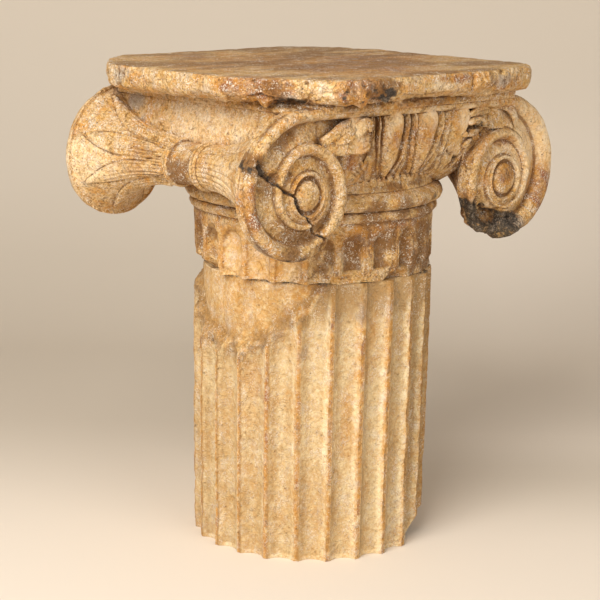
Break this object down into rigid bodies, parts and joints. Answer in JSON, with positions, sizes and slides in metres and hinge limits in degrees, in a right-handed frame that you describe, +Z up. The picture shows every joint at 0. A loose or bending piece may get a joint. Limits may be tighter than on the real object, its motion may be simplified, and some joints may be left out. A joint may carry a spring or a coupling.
{
  "type": "ionic capital",
  "caption": "Weathered carved marble column capital with scroll volutes, side bolsters, an egg band and a fluted collar, standing on a short fluted shaft drum.",
  "frame": {"origin": "centre of the drum's flat underside, on the column's axis", "axes": "+Z up along the column's axis, -Y towards the carved face with the two volutes, so the bolster sides face -X and +X"},
  "size_m": [0.5304, 0.422, 0.598],
  "materials": {
    "capital_marble": "honey-coloured weathered marble with orange-brown, grey and black deposits",
    "shaft_marble": "honey-coloured weathered marble, pale in the flutes, with crusted orange-brown arrises"
  },
  "bodies": {
    "root": {"capital": "capital_marble", "column_shaft": "shaft_marble"}
  },
  "joints": []
}
